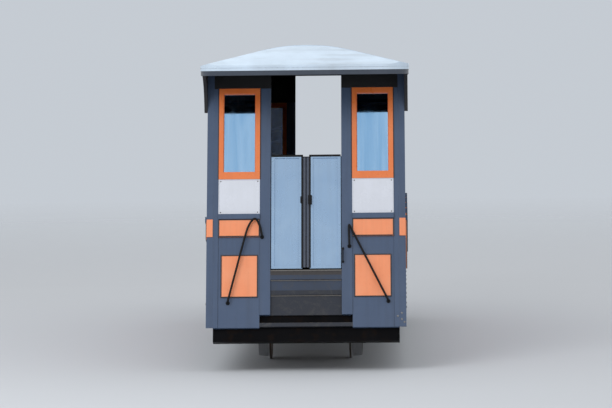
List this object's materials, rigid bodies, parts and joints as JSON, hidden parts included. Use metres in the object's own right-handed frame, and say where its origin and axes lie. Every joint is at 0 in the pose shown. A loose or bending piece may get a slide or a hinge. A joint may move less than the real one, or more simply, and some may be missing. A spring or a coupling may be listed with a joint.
{
  "type": "funicular railway car",
  "caption": "Inclined railway car: leaning body with plumb posts, stepped floor, orange sashes and belts, bonneted roof, inward gates and flanged wheelsets.",
  "frame": {"origin": "on the floor under the wheel flanges, on the car's centre line, midway between the wheelsets", "axes": "+X to the right looking up the hill, +Y up the hill along the rails, +Z square to the rails; the body's posts lean towards +Y so that they stand plumb on a track climbing one in three"},
  "size_m": [1.76, 7.1855, 2.7359],
  "materials": {
    "body_paint": "satin grey-blue oil paint on planed timber",
    "orange_paint": "glossy orange oil paint on boards and sashes",
    "dark_paint": "dark weathered paint on eaves boards and brackets",
    "roof_paint": "pale painted roof skin, weathered",
    "notice_enamel": "blank white enamelled plate",
    "window_glass": "clear float glass",
    "gate_paint": "glossy pale blue sheet in pale frames",
    "apron_paint": "worn dark grey paint, scuffed by shoes",
    "underframe_steel": "black greased steel",
    "wheel_steel": "dark cast wheels with bright worn treads",
    "floor_wood": "worn hardwood planks",
    "seat_wood": "varnished slats",
    "locker_paint": "grey painted lockers",
    "rod_steel": "black enamelled rod"
  },
  "bodies": {
    "car": {"solebars": "underframe_steel", "headstocks": "underframe_steel", "cross_members": "underframe_steel", "axle_pedestals": "underframe_steel", "rope_anchor": "underframe_steel", "step_bearers": "floor_wood", "floor_treads": "floor_wood", "floor_risers": "apron_paint", "side_skirts": "body_paint", "side_posts": "body_paint", "cant_rails": "body_paint", "waist_boards": "body_paint", "side_colour_boards": "orange_paint", "side_sashes": "orange_paint", "side_glass": "window_glass", "side_headers": "dark_paint", "end_stiles": "body_paint", "end_boards": "body_paint", "end_colour_boards": "orange_paint", "end_sashes": "orange_paint", "end_glass": "window_glass", "end_headers": "dark_paint", "notice_boards": "notice_enamel", "door_aprons": "apron_paint", "roof_shell": "roof_paint", "roof_fascia": "body_paint", "roof_ribs": "floor_wood", "hood_brackets": "dark_paint", "seat_boxes": "locker_paint", "seat_boards": "seat_wood", "gate_lugs": "underframe_steel", "entrance_rails": "rod_steel"},
    "lower_wheelset": {"lower_wheelset": "wheel_steel"},
    "upper_wheelset": {"upper_wheelset": "wheel_steel"},
    "lower_left_gate": {"lower_left_gate": "gate_paint", "lower_left_gate_panel": "gate_paint"},
    "lower_right_gate": {"lower_right_gate": "gate_paint", "lower_right_gate_panel": "gate_paint"},
    "upper_left_gate": {"upper_left_gate": "gate_paint", "upper_left_gate_panel": "gate_paint"},
    "upper_right_gate": {"upper_right_gate": "gate_paint", "upper_right_gate_panel": "gate_paint"}
  },
  "joints": [
    {"name": "lower_wheelset_spin", "type": "hinge", "parent": "car", "child": "lower_wheelset", "pos_m": [0, -1.7, 0.222], "axis": [1, 0, 0], "continuous": true},
    {"name": "upper_wheelset_spin", "type": "hinge", "parent": "car", "child": "upper_wheelset", "pos_m": [0, 1.7, 0.222], "axis": [1, 0, 0], "continuous": true},
    {"name": "lower_left_gate_hinge", "type": "hinge", "parent": "car", "child": "lower_left_gate", "pos_m": [-0.286, -2.58068, 1.31357], "axis": [0, 0.3162, 0.9487], "range_deg": [0, 90]},
    {"name": "lower_right_gate_hinge", "type": "hinge", "parent": "car", "child": "lower_right_gate", "pos_m": [0.286, -2.58068, 1.31357], "axis": [0, -0.3162, -0.9487], "range_deg": [0, 90]},
    {"name": "upper_left_gate_hinge", "type": "hinge", "parent": "car", "child": "upper_left_gate", "pos_m": [-0.286, 3.16075, 1.17063], "axis": [0, -0.3162, -0.9487], "range_deg": [0, 90]},
    {"name": "upper_right_gate_hinge", "type": "hinge", "parent": "car", "child": "upper_right_gate", "pos_m": [0.286, 3.16075, 1.17063], "axis": [0, 0.3162, 0.9487], "range_deg": [0, 90]}
  ]
}
